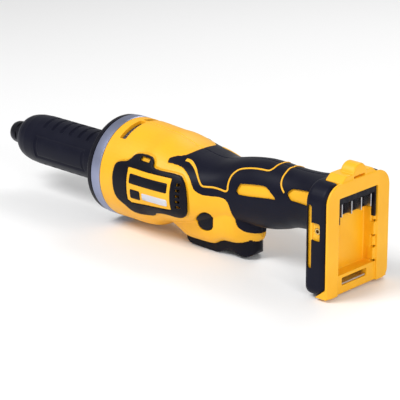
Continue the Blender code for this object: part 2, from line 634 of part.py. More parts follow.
def controls():
    """Trigger, its pin and spring, the switch, the lock button and the electronics."""
    trigger = prism("trigger", TRIGGER, -TRIGGER_HALF_WIDTH - 1, TRIGGER_HALF_WIDTH + 1, "Y", "black")
    bevel(keep(trigger, trigger_plan("trigger_outline", -60, -20)), 2.0, 2, 40)
    arm = box("trigger_arm", (-172, -164), (-8, 8), (-38, -29.5))
    join(trigger, arm)
    set_origin(trigger, *TRIGGER_PIVOT)
    cut(trigger, cross_rod("trigger_bore", TRIGGER_PIVOT, (-20, 20), 2.3, None, 20))
    cross_rod("trigger_pin", TRIGGER_PIVOT, (-PIN_HALF, PIN_HALF), 1.9, "steel", 16)

    module = box("switch_module", (-131, -99), (-10, 10), (-8, 9.5), "potting")
    cut(module, box("plunger_slot", (-118.6, -113.4), (-3.6, 3.6), (-9, 0)))
    set_origin(box("switch_plunger", (-118, -114), (-3, 3), (-29.4, -7.0), "black"), -116, -29.4)
    coil_spring("trigger_spring", (-124, 0.0), (-28.5, -8.5), 3.4, 0.5, 5)

    button = prism("lock_button", button_outline(1.0), -40, 40, "Y", "black")
    crown = join(loft("button_crown", (-170, -125), 0.4, 8), guard("button_skirt", 0.4))
    set_origin(button, *BUTTON_CENTRE)
    keep(button, crown)

    tray = box("control_tray", (-88, -40), (-13, 13), (7, 24.5), "alloy")
    cut(tray, box("tray_hollow", (-86.5, -41.5), (-11.5, 11.5), (8.5, 33)))
    box("control_board", (-86, -42), (-11, 11), (9, 23), "potting")


def coil_spring(name, centre, z, radius, wire, turns):
    """A compression spring along Z, as a swept round wire."""
    steps, around = turns * 10, 5
    points = []
    for i in range(steps + 1):
        a = 2 * math.pi * turns * i / steps
        points.append(
            Vector((centre[0] + radius * math.cos(a), centre[1] + radius * math.sin(a),
                    z[0] + wire + (z[1] - z[0] - 2 * wire) * i / steps))
        )
    verts, faces = [], []
    for i, p in enumerate(points):
        a = 2 * math.pi * turns * i / steps
        out = Vector((math.cos(a), math.sin(a), 0))
        up = Vector((0, 0, 1))
        for k in range(around):
            b = 2 * math.pi * k / around
            verts.append(tuple(p + wire * (math.cos(b) * out + math.sin(b) * up)))
    for i in range(steps):
        for k in range(around):
            m = (k + 1) % around
            faces.append((i * around + k, i * around + m, (i + 1) * around + m, (i + 1) * around + k))
    faces.append(tuple(range(around)))
    faces.append(tuple(steps * around + k for k in range(around)))
    return add(name, verts, faces, "steel")


def main():
    clear_scene()
    nose()
    spindle()
    motor()
    for side in (-1, 1):
        housing(side)
        covers(side)
    receiver()
    controls()


main()
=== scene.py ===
"""The look of the cordless die grinder: finer shells over the CAD model, materials, light and camera.

Shapes are drawn in millimetres, with the spindle axis as X and X = 0 on the rear face of the battery foot,
as in the CAD model. The frame's own origin is on the floor of the battery bay, 12 mm in front of that face.
"""

import json
import math

import bmesh
import bpy
from mathutils import Matrix, Vector
from mathutils.bvhtree import BVHTree


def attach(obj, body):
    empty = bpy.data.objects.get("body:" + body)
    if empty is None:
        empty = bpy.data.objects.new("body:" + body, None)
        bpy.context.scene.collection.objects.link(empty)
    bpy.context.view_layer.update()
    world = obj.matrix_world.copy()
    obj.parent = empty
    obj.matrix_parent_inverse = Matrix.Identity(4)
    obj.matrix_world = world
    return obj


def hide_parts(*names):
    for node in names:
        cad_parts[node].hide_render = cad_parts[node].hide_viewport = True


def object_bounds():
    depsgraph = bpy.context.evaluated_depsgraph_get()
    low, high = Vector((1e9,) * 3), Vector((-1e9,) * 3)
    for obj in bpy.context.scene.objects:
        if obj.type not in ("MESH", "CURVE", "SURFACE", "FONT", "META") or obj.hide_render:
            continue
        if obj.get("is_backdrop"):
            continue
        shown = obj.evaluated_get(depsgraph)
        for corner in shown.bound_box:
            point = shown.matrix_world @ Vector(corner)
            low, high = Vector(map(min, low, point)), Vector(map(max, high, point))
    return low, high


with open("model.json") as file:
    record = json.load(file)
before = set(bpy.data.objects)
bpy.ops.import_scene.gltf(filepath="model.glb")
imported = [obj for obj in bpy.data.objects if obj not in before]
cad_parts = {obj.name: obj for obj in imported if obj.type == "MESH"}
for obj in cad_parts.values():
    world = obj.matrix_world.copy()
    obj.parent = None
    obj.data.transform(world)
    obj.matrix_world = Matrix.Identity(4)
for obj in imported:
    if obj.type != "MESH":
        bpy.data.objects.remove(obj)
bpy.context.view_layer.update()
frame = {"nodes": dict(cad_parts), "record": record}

MM = 0.001
ORIGIN_X = -12.0  # the floor of the battery bay, where the frame has its origin
SIDES = (("left", -1), ("right", 1))

# Driving dimensions, as the CAD model has them
BOOT_FRONT, BOOT_R = -386.0, 22.4
FLANGE_FRONT, RING_FRONT, RING_REAR = -266.0, -260.0, -249.0
NOSE_TIP, NUT_R = -405.0, 10.2
RIB_FIRST, RIB_PITCH, RIB_WIDTH, RIBS = -353.0, 11.3, 4.4, 6
SCREW_CIRCLE = 35.0
FOOT_HALF_WIDTH, FOOT_TOP, FOOT_BOTTOM = 38.5, 46.0, -47.0
FOOT_FRONT, RECEIVER_FRONT = -24.0, -16.7
BAY_HALF_WIDTH, BAY_TOP, BAY_DEPTH = 24.0, 34.0, 12.0
TRIGGER_PIVOT = (-168.0, -33.0)
TRIGGER_HALF_WIDTH = 13.2
TRIGGER_REAR, TRIGGER_ROUND = -103.5, 20.0
BUTTON_CENTRE = (-142.9, -18.5)
CLIP = (-12.4, 7.5)  # the threaded insert for a belt clip
GRIP_THICK, GAP = 2.0, 0.3
PARTING = 0.08  # from the plane Y = 0 to each clamshell's edge

# How finely the turned and lofted forms are cut
BOOT_ROWS, BOOT_AROUND = 320, 144
GUARD_ROWS, GUARD_AROUND = 72, 40
ROD_AROUND = 32

# Housing stations: x, top z, bottom z, half width, squareness
STATIONS = (
    (-248.7, 44.0, -44.0, 44.0, 2.0),
    (-232.0, 44.0, -44.0, 44.0, 2.0),
    (-216.0, 43.0, -44.0, 44.0, 2.0),
    (-206.0, 42.2, -42.4, 43.9, 2.0),
    (-197.0, 41.6, -37.8, 43.8, 2.05),
    (-188.0, 39.4, -34.8, 43.6, 2.1),
    (-174.0, 35.4, -32.0, 42.8, 2.15),
    (-160.0, 33.2, -29.0, 40.6, 2.2),
    (-150.0, 31.5, -27.0, 37.0, 2.2),
    (-140.0, 31.5, -25.0, 32.6, 2.2),
    (-130.0, 33.4, -23.0, 28.8, 2.2),
    (-120.0, 36.0, -20.5, 26.2, 2.2),
    (-107.0, 38.6, -19.0, 24.2, 2.2),
    (-94.0, 40.2, -18.0, 23.2, 2.2),
    (-81.0, 40.2, -16.2, 22.8, 2.2),
    (-68.0, 39.5, -12.8, 22.3, 2.2),
    (-56.0, 39.2, -8.8, 22.0, 2.2),
    (-40.0, 40.0, -7.0, 22.6, 2.3),
    (-23.0, 43.0, -8.0, 26.0, 2.4),
)
# Under the waist, the trigger guard: x, bottom z, half width
GUARD_STATIONS = (
    (-194.0, -31.0, 22.0),
    (-186.0, -35.5, 23.5),
    (-178.0, -38.5, 24.5),
    (-170.0, -42.0, 25.2),
    (-155.0, -42.2, 25.6),
    (-141.0, -41.5, 25.2),
    (-136.0, -39.0, 24.9),
    (-130.0, -36.4, 24.3),
    (-118.0, -36.2, 21.5),
    (-112.0, -36.0, 17.4),
    (-107.0, -35.2, 12.4),
    (-103.0, -33.0, 8.0),
    (-99.5, -29.0, 4.0),
)
GUARD_TOP, GUARD_POWER = 8.0, 4.4

# Outlines in side view, (x, z)
GRIP = (
    (-180, 29.3), (-176, 30.6), (-170, 31.6), (-167, 34), (-166.5, 60), (FOOT_FRONT - GAP - 0.7, 60),
    (FOOT_FRONT - GAP - 0.7, -34), (-80, -34), (-84, -17), (-91, -21.5), (-97.5, -24), (-104, -24.2),
    (-109.5, -22), (-113, -17.5), (-114.5, -10), (-116, 1.5), (-119, 6), (-124, 7.3), (-135.5, 7),
    (-141, 7.6), (-146, 10.3), (-149, 14.2), (-152, 18.3), (-157, 22.2), (-163, 25), (-172, 26.2),
    (-178.5, 26.3),
)
TRIGGER = (
    (-173.5, -36), (-175, -43), (-172, -47), (-167, -48), (-143, -48.5), (-136, -47), (-129, -43.5),
    (-124, -43), (-118, -44.8), (-113, -46.6), (-108, -46), (-104, -42), (-102, -35), (-102, -30),
    (-132, -29.5), (-136, -34),
)
COVER = (
    (-228, -12), (-219.5, -18), (-210.5, -23.3), (-192.5, -22.8), (-186, -18.5), (-174, -16.4),
    (-161, -17.4), (-154.5, -13.8), (-151.3, -7.3), (-150.6, 3), (-152.4, 11.4), (-156.7, 17.6),
    (-162.4, 20.4), (-186, 21.2), (-190, 25.5), (-195.8, 28.8), (-210.6, 28), (-215, 24), (-219, 21),
    (-228.2, 18.5), (-231, 13), (-231, 0),
)
BUTTON = (
    (-148.2, -15.6), (-143.3, -11), (-139, -9.3), (-135.4, -11), (-134.9, -16.5), (-135.6, -22.3),
    (-138.5, -25.4), (-143.3, -27), (-148.3, -26.2), (-151, -23), (-150.6, -19),
)
BADGE = ((-214, -11), (-210, -13), (-166, -10), (-166, 17), (-215, 17))
WINDOW_FRONT = (
    (-107, 12.8), (-76.8, 16), (-68.4, 17.1), (-74, 21.6), (-79, 24.6), (-86, 24.8), (-103, 22.4),
    (-106.6, 21),
)
WINDOW_REAR = ((-57.5, 24.4), (-54, 20.6), (-50, 19.8), (-20, 21.5), (-20, 31.5), (-50, 29.2), (-53.5, 28.4))

# Yellow lines on the grip: (x, distance from the parting plane, z)
LINE_FRONT = (
    (-165.3, 22.8, 29.7), (-160.5, 22.5, 29.1), (-153.2, 25.2, 25.8), (-147.9, 28.3, 21.8),
    (-143.5, 30.4, 17.3), (-140.3, 30.7, 14.4), (-136.5, 29.6, 14.2), (-130.5, 27.7, 14.6),
    (-124, 26.5, 14.1), (-119, 25.7, 13.4), (-117.1, 25, 15), (-117.2, 24.5, 18.1), (-117.1, 23, 22.3),
    (-116.3, 20.8, 26.3), (-114.2, 18.4, 29.5), (-110.5, 16.2, 32.1), (-104.2, 14.9, 33.9),
    (-96.6, 14, 35.2), (-89.6, 13.5, 35.8), (-83, 12.9, 36.2), (-80.5, 10.4, 37.8), (-80, 6.4, 39.4),
    (-79.7, 0.2, 40.2),
)
LINE_REAR = (
    (-67.8, 0.2, 39.5), (-68.2, 4, 39.3), (-67.3, 9.6, 37.5), (-66.9, 14.3, 34.4), (-65.6, 17.7, 30.5),
    (-63.1, 19.5, 27.2), (-60, 20.6, 24.6),
)


# ---------------------------------------------------------------- materials
def nodes_of(name):
    made = bpy.data.materials.new(name)
    made.use_nodes = True
    tree = made.node_tree
    return made, tree, tree.nodes["Principled BSDF"]


def noise(tree, scale, detail, roughness=0.55, stretch=None):
    """Noise in the object's own space, in features per metre."""
    coords = tree.nodes.new("ShaderNodeTexCoord")
    out = coords.outputs["Object"]
    if stretch:
        mapping = tree.nodes.new("ShaderNodeMapping")
        mapping.inputs["Scale"].default_value = stretch
        tree.links.new(out, mapping.inputs["Vector"])
        out = mapping.outputs["Vector"]
    texture = tree.nodes.new("ShaderNodeTexNoise")
    texture.inputs["Scale"].default_value = scale
    texture.inputs["Detail"].default_value = detail
    texture.inputs["Roughness"].default_value = roughness
    tree.links.new(out, texture.inputs["Vector"])
    return texture.outputs["Fac"]


def remap(tree, source, low, high, start=0.3, end=0.7):
    node = tree.nodes.new("ShaderNodeMapRange")
    for key, value in (("From Min", start), ("From Max", end), ("To Min", low), ("To Max", high)):
        node.inputs[key].default_value = value
    tree.links.new(source, node.inputs["Value"])
    return node.outputs["Result"]


def mix(tree, factor, a, b):
    node = tree.nodes.new("ShaderNodeMix")
    node.data_type = "RGBA"
    tree.links.new(factor, node.inputs["Factor"])
    for socket, value in ((node.inputs["A"], a), (node.inputs["B"], b)):
        if isinstance(value, tuple):
            socket.default_value = (*value, 1.0)
        else:
            tree.links.new(value, socket)
    return node.outputs["Result"]


def bump(tree, layers):
    """One bump chain from (height, strength, distance in millimetres) layers."""
    normal = None
    for height, strength, distance in layers:
        node = tree.nodes.new("ShaderNodeBump")
        node.inputs["Strength"].default_value = strength
        node.inputs["Distance"].default_value = distance * MM
        tree.links.new(height, node.inputs["Height"])
        if normal:
            tree.links.new(normal, node.inputs["Normal"])
        normal = node.outputs["Normal"]
    return normal


def moulded(name, colour, shade, roughness, texture, texture_scale, specular=0.5, wear=None):
    """Moulded plastic or rubber: spark-eroded grain, uneven gloss, a shift of colour and rubbed edges."""
    made, tree, shader = nodes_of(name)
    grain = noise(tree, texture_scale, 3.0)
    cloud = noise(tree, 38.0, 5.0)
    colour_out = mix(tree, remap(tree, cloud, 0.0, 1.0, 0.35, 0.65), colour, shade)
    if wear:
        geometry = tree.nodes.new("ShaderNodeNewGeometry")
        edge = remap(tree, geometry.outputs["Pointiness"], 0.0, 0.55, 0.53, 0.62)
        spots = tree.nodes.new("ShaderNodeMath")
        spots.operation = "MULTIPLY"
        tree.links.new(edge, spots.inputs[0])
        tree.links.new(remap(tree, noise(tree, 320.0, 4.0), 0.0, 1.0, 0.45, 0.62), spots.inputs[1])
        colour_out = mix(tree, spots.outputs["Value"], colour_out, wear)
    tree.links.new(colour_out, shader.inputs["Base Color"])
    tree.links.new(remap(tree, cloud, roughness - 0.06, roughness + 0.07), shader.inputs["Roughness"])
    shader.inputs["Specular IOR Level"].default_value = specular
    layers = [(grain, texture, 0.05), (noise(tree, 420.0, 2.0), texture * 0.35, 0.08)]
    tree.links.new(bump(tree, layers), shader.inputs["Normal"])
    return made


def metal(name, colour, shade, roughness, stretch=(1.0, 1.0, 1.0), scale=1400.0, strength=0.15):
    """Machined or cast metal: fine lines along the stretch, and cloudy tarnish."""
    made, tree, shader = nodes_of(name)
    lines = noise(tree, scale, 3.0, 0.6, stretch)
    cloud = noise(tree, 60.0, 4.0)
    tree.links.new(mix(tree, remap(tree, cloud, 0.0, 1.0), colour, shade), shader.inputs["Base Color"])
    tree.links.new(remap(tree, lines, roughness - 0.07, roughness + 0.09), shader.inputs["Roughness"])
    shader.inputs["Metallic"].default_value = 1.0
    tree.links.new(bump(tree, [(lines, strength, 0.03)]), shader.inputs["Normal"])
    return made


MATERIALS = {
    "yellow": moulded(
        "yellow", (0.93, 0.46, 0.009), (0.89, 0.425, 0.007), roughness=0.42, texture=0.22,
        texture_scale=2400.0, specular=0.42, wear=(0.97, 0.60, 0.07),
    ),
    "black": moulded(
        "black", (0.004, 0.004, 0.009), (0.007, 0.007, 0.012), roughness=0.36, texture=0.25,
        texture_scale=2400.0, specular=0.11, wear=(0.025, 0.025, 0.032),
    ),
    "rubber": moulded(
        "rubber", (0.0045, 0.005, 0.013), (0.007, 0.0075, 0.017), roughness=0.4, texture=0.35,
        texture_scale=3000.0, specular=0.1, wear=(0.02, 0.02, 0.03),
    ),
    "steel": metal("steel", (0.62, 0.62, 0.64), (0.50, 0.50, 0.52), 0.28, stretch=(1.0, 14.0, 14.0)),
    "alloy": metal("alloy", (0.37, 0.40, 0.55), (0.29, 0.32, 0.46), 0.40, scale=1800.0, strength=0.3),
    "dark_steel": metal(
        "dark_steel", (0.020, 0.020, 0.028), (0.035, 0.035, 0.043), 0.38, stretch=(12.0, 1.0, 1.0)
    ),
    "copper": metal("copper", (0.75, 0.30, 0.12), (0.62, 0.22, 0.08), 0.34, stretch=(1.0, 8.0, 8.0)),
    "brass": metal("brass", (0.76, 0.55, 0.22), (0.62, 0.43, 0.16), 0.30, stretch=(1.0, 10.0, 1.0)),
    "board": moulded("board", (0.012, 0.16, 0.055), (0.02, 0.22, 0.08), 0.40, 0.2, 900.0),
    "potting": moulded("potting", (0.06, 0.06, 0.07), (0.085, 0.085, 0.095), 0.5, 0.3, 1200.0),
    "grille": moulded("grille", (0.13, 0.13, 0.15), (0.10, 0.10, 0.12), 0.45, 0.2, 2400.0),
    "print_grey": moulded("print_grey", (0.62, 0.62, 0.66), (0.54, 0.54, 0.58), 0.4, 0.15, 2400.0),
}


# ---------------------------------------------------------------- mesh tools
def add(name, verts, faces, smooth=40.0):
    """An object from points in millimetres, with outward normals and edges over the angle sharp."""
    mesh = bpy.data.meshes.new(name)
    mesh.from_pydata([Vector((x - ORIGIN_X, y, z)) * MM for x, y, z in verts], [], faces)
    work = bmesh.new()
    work.from_mesh(mesh)
    bmesh.ops.recalc_face_normals(work, faces=work.faces)
    work.to_mesh(mesh)
    work.free()
    mesh.shade_smooth()
    mesh.set_sharp_from_angle(angle=math.radians(smooth))
    obj = bpy.data.objects.new(name, mesh)
    bpy.context.scene.collection.objects.link(obj)
    return obj


def bake(obj, *spent):
    """Applies an object's modifiers and removes the cutters that they used."""
    bpy.context.view_layer.update()
    graph = bpy.context.evaluated_depsgraph_get()
    mesh = bpy.data.meshes.new_from_object(obj.evaluated_get(graph))
    old = obj.data
    obj.modifiers.clear()
    obj.data = mesh
    bpy.data.meshes.remove(old)
    for other in spent:
        bpy.data.objects.remove(other)
    return obj


def combine(obj, operation, *others):
    """One Boolean after another with the others, which are used up."""
    for other in others:
        modifier = obj.modifiers.new("boolean", "BOOLEAN")
        modifier.operation = operation
        modifier.solver = "EXACT"
        modifier.object = other
    return bake(obj, *others)


def cut(obj, *others):
    return combine(obj, "DIFFERENCE", *others)


def join(obj, *others):
    return combine(obj, "UNION", *others)


def keep(obj, *others):
    return combine(obj, "INTERSECT", *others)


def bevel(obj, width, segments, angle):
    modifier = obj.modifiers.new("bevel", "BEVEL")
    modifier.width = width * MM
    modifier.segments = segments
    modifier.limit_method = "ANGLE"
    modifier.angle_limit = math.radians(angle)
    return bake(obj)


def soften(obj, cell, rounds, ratio):
    """Gives a cut solid the small round edges of a moulding."""
    remesh = obj.modifiers.new("remesh", "REMESH")
    remesh.mode = "VOXEL"
    remesh.voxel_size = cell * MM
    smooth = obj.modifiers.new("smooth", "SMOOTH")
    smooth.factor = 0.5
    smooth.iterations = rounds
    thin = obj.modifiers.new("thin", "DECIMATE")
    thin.ratio = ratio
    bake(obj)
    obj.data.shade_smooth()
    return obj


def box(name, x, y, z):
    """A box between the pairs x, y and z."""
    verts = [(a, b, c) for a in x for b in y for c in z]
    faces = [(0, 1, 3, 2), (4, 6, 7, 5), (0, 4, 5, 1), (2, 3, 7, 6), (0, 2, 6, 4), (1, 5, 7, 3)]
    return add(name, verts, faces)


def prism(name, outline, low, high, axis="Y", smooth=40.0):
    """An outline extruded along an axis. Its pairs are (x, z) for Y, (y, z) for X and (x, y) for Z."""
    place = {
        "X": lambda p, d: (d, p[0], p[1]),
        "Y": lambda p, d: (p[0], d, p[1]),
        "Z": lambda p, d: (p[0], p[1], d),
    }[axis]
    n = len(outline)
    verts = [place(p, d) for d in (low, high) for p in outline]
    faces = [tuple(range(n)), tuple(range(2 * n - 1, n - 1, -1))]
    faces += [(i, (i + 1) % n, n + (i + 1) % n, n + i) for i in range(n)]
    return add(name, verts, faces, smooth)


def turned(name, profile, segments, centre=(0.0, 0.0)):
    """A solid turned about an axis along X: closed round if no r is 0, else pole to pole."""
    solid = profile[0][1] == 0
    rings = profile[1:-1] if solid else profile
    angles = [2 * math.pi * k / segments for k in range(segments)]
    cy, cz = centre
    verts = [(x, cy + r * math.cos(a), cz + r * math.sin(a)) for x, r in rings for a in angles]
    count = len(rings)
    faces = []
    for i in range(count - 1 if solid else count):
        j = (i + 1) % count
        for k in range(segments):
            m = (k + 1) % segments
            faces.append((i * segments + k, i * segments + m, j * segments + m, j * segments + k))
    if solid:
        faces.append(tuple(range(segments)))
        faces.append(tuple((count - 1) * segments + k for k in range(segments)))
    return add(name, verts, faces, 30.0)


def cross_rod(name, centre, y, r):
    """A rod along Y, centred at (x, z)."""
    turn = [2 * math.pi * k / ROD_AROUND for k in range(ROD_AROUND)]
    outline = [(centre[0] + r * math.cos(a), centre[1] + r * math.sin(a)) for a in turn]
    return prism(name, outline, *y)


def curve_through(points, steps, closed=True):
    """A Catmull-Rom curve through points, in two or three dimensions."""
    n = len(points)
    found = []
    for i in range(n if closed else n - 1):
        near = [points[(i + k) % n] if closed else points[min(max(i + k, 0), n - 1)] for k in (-1, 0, 1, 2)]
        p0, p1, p2, p3 = (Vector(p) for p in near)
        for k in range(steps):
            t = k / steps
            found.append(
                tuple(0.5 * (2 * p1 + (p2 - p0) * t + (2 * p0 - 5 * p1 + 4 * p2 - p3) * t**2
                             + (3 * p1 - p0 - 3 * p2 + p3) * t**3))
            )
    if not closed:
        found.append(tuple(points[-1]))
    return found


def rounded(y, z, radii, steps=10):
    """A rectangle between two pairs with corner radii, in turn from the low corner by way of high y."""
    corners = ((y[0], z[0], 180), (y[1], z[0], 270), (y[1], z[1], 0), (y[0], z[1], 90))
    points = []
    for (cy, cz, start), r in zip(corners, radii):
        my, mz = cy + (r if cy == y[0] else -r), cz + (r if cz == z[0] else -r)
        for k in range(steps + 1):
            a = math.radians(start + 90 * k / steps)
            points.append((my + r * math.cos(a), mz + r * math.sin(a)))
    return points


def hermite(rows, x, columns):
    """The given columns of a table of stations at x, by a smooth curve through its rows."""
    x = min(max(x, rows[0][0]), rows[-1][0])
    i = max(k for k in range(len(rows) - 1) if rows[k][0] <= x)
    before, a, b, after = rows[max(i - 1, 0)], rows[i], rows[i + 1], rows[min(i + 2, len(rows) - 1)]
    span = b[0] - a[0]
    t = (x - a[0]) / span
    found = []
    for k in columns:
        left = (b[k] - before[k]) / (b[0] - before[0]) * span
        right = (after[k] - a[k]) / (after[0] - a[0]) * span
        found.append(
            (2 * t**3 - 3 * t**2 + 1) * a[k] + (t**3 - 2 * t**2 + t) * left
            + (3 * t**2 - 2 * t**3) * b[k] + (t**3 - t**2) * right
        )
    return found


def signed_power(base, exponent):
    return math.copysign(abs(base) ** exponent, base)


def section(x, offset, around):
    """Points round the housing at x, moved in by offset."""
    top, bottom, width, power = hermite(STATIONS, x, (1, 2, 3, 4))
    centre, height, width = (top + bottom) / 2, (top - bottom) / 2 - offset, width - offset
    points = []
    for k in range(around):
        a = 2 * math.pi * (k + 0.5) / around
        c, s = math.cos(a), math.sin(a)
        y, z = width * signed_power(c, 2 / power), centre + height * signed_power(s, 2 / power)
        points.append((x, y, z))
    return points


def skin(name, rows):
    """A solid through rows of points, each row closed round and the two ends capped."""
    n, last = len(rows[0]), len(rows) - 1
    verts = [p for row in rows for p in row]
    faces = [tuple(range(n)), tuple(range(last * n, (last + 1) * n))]
    for i in range(last):
        for k in range(n):
            m = (k + 1) % n
            faces.append((i * n + k, i * n + m, (i + 1) * n + m, (i + 1) * n + k))
    return add(name, verts, faces, 50.0)


def loft(name, x, offset=0.0, pitch=2.0, around=72):
    """The housing's form between the pair x, moved in by offset."""
    steps = max(3, round((x[1] - x[0]) / pitch))
    return skin(name, [section(x[0] + (x[1] - x[0]) * i / steps, offset, around) for i in range(steps + 1)])


def guard(name, inset=0.0):
    """The trigger guard's form under the waist, moved in by inset."""
    low, high = GUARD_STATIONS[0][0] + inset, GUARD_STATIONS[-1][0] - inset
    rows = []
    for i in range(GUARD_ROWS + 1):
        x = low + (high - low) * i / GUARD_ROWS
        bottom, width = hermite(GUARD_STATIONS, x, (1, 2))
        half, width = GUARD_TOP - bottom - inset, width - inset
        row = []
        for k in range(GUARD_AROUND + 1):
            a = math.pi * k / GUARD_AROUND
            c, d = math.cos(a), max(math.sin(a), 0.0)
            y, z = width * signed_power(c, 2 / GUARD_POWER), GUARD_TOP - half * d ** (2 / GUARD_POWER)
            row.append((x, y, z))
        rows.append(row)
    return skin(name, rows)


def trigger_plan(low, high, grown=0.0):
    """The trigger's outline from above, between two heights: straight sides and a rounded rear."""
    half, reach = TRIGGER_HALF_WIDTH + grown, TRIGGER_REAR - TRIGGER_ROUND + grown
    right = [(-176, half)]
    for k in range(25):
        a = math.pi / 2 * (1 - k / 24)
        right.append((reach + TRIGGER_ROUND * math.cos(a), max(1.0, half * math.sin(a) ** 0.9)))
    return prism("trigger_plan", right + [(x, -y) for x, y in reversed(right)], low, high, "Z", 50)


def half_box(name, side):
    """A box over one clamshell's half of the space."""
    return box(name, (-300, 60), reach(side, PARTING, 120), (-120, 120))


def reach(side, low, high):
    """The distances low and high from the parting plane, as a pair of y on one side."""
    return (-high, -low) if side < 0 else (low, high)


def button_outline(scale):
    """The lock button's outline, scaled about its centre."""
    cx, cz = BUTTON_CENTRE
    return [(cx + (x - cx) * scale, cz + (z - cz) * scale) for x, z in curve_through(BUTTON, 4)]


def grown(outline, amount):
    """An outline moved outwards by an amount, whichever way round it runs."""
    n = len(outline)
    following = list(outline[1:]) + [outline[0]]
    area = sum(a[0] * b[1] - b[0] * a[1] for a, b in zip(outline, following))
    found = []
    for i, point in enumerate(outline):
        along = (Vector(outline[(i + 1) % n]) - Vector(outline[i - 1])).normalized()
        out = Vector((along.y, -along.x)) * math.copysign(amount, area)
        found.append(tuple(Vector(point) + out))
    return found


def foot_core_outline():
    """The inner block of the foot, which the clamshells and the receiver share."""
    return rounded((-36.0, 36.0), (FOOT_BOTTOM + 2.5, FOOT_TOP - 2.5), (6, 6, 13, 13))


def smoothstep(t):
    t = min(max(t, 0.0), 1.0)
    return t * t * (3 - 2 * t)


def dress(obj, finish, body="housing", stands_for=()):
    """Gives a piece its material, its body and the CAD nodes that it stands for."""
    obj.data.materials.clear()
    obj.data.materials.append(MATERIALS[finish])
    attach(obj, body)
    if stands_for:
        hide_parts(*stands_for)
    return obj


# ---------------------------------------------------------------- nose
BOOT_PROFILE = (
    (-383.5, 18.0), (-380.5, 19.6), (-377, 20.7), (-371, 21.8), (-361, BOOT_R), (-276, BOOT_R),
    (FLANGE_FRONT - GAP, BOOT_R + 2.0),
)
BOOT_INSIDE = ((FLANGE_FRONT - GAP, 18.3), (-377, 18.3), (-377, 13.5), (BOOT_FRONT, 13.5))


def boot_radius(x):
    """The boot's outer radius at x: straight over the rounded tip, then eased."""
    if x < -383.5:
        return 15.0 + 3.0 * (x - BOOT_FRONT) / 2.5
    for (a, ra), (b, rb) in zip(BOOT_PROFILE, BOOT_PROFILE[1:]):
        if x <= b:
            share = (x - a) / (b - a)
            return ra + (rb - ra) * smoothstep(share) if a > -371 else ra + (rb - ra) * share
    return BOOT_PROFILE[-1][1]


def band(x, low, high, ease):
    """1 between low and high, easing to 0 at each."""
    return smoothstep((x - low) / ease) * smoothstep((high - x) / ease)


def boot():
    """The rubber boot: rounded ribs above and below, and a framed smooth panel on each side."""
    ribs = [RIB_FIRST + RIB_PITCH * i for i in range(RIBS)]
    low, high = ribs[0] - 4.0, ribs[-1] + 4.6
    length = FLANGE_FRONT - GAP - BOOT_FRONT
    turns = [2 * math.pi * k / BOOT_AROUND for k in range(BOOT_AROUND)]
    rows = []
    for i in range(BOOT_ROWS + 1):
        x = BOOT_FRONT + length * i / BOOT_ROWS
        grooves = [band(x, rib, rib + RIB_WIDTH, 0.8) for rib in ribs]
        row = []
        for a in turns:
            steep = abs(math.sin(a))
            groove = max(1.4 * depth * smoothstep((steep - 0.74) / 0.06) for depth in grooves)
            side = smoothstep((0.47 - steep) / 0.05) * band(x, low, high, 1.0)
            field = smoothstep((0.40 - steep) / 0.05) * band(x, low + 3, high - 3, 1.0)
            r = boot_radius(x) - groove - 0.9 * side + 0.5 * field
            row.append((x, r * math.cos(a), r * math.sin(a)))
        rows.append(row)
    rows += [[(x, r * math.cos(a), r * math.sin(a)) for a in turns] for x, r in BOOT_INSIDE]
    n = BOOT_AROUND
    verts = [p for row in rows for p in row]
    faces = []
    for i in range(len(rows)):
        j = (i + 1) % len(rows)
        faces += [(i * n + k, i * n + (k + 1) % n, j * n + (k + 1) % n, j * n + k) for k in range(n)]
    dress(add("boot_skin", verts, faces, 60.0), "rubber", stands_for=["neck_boot"])


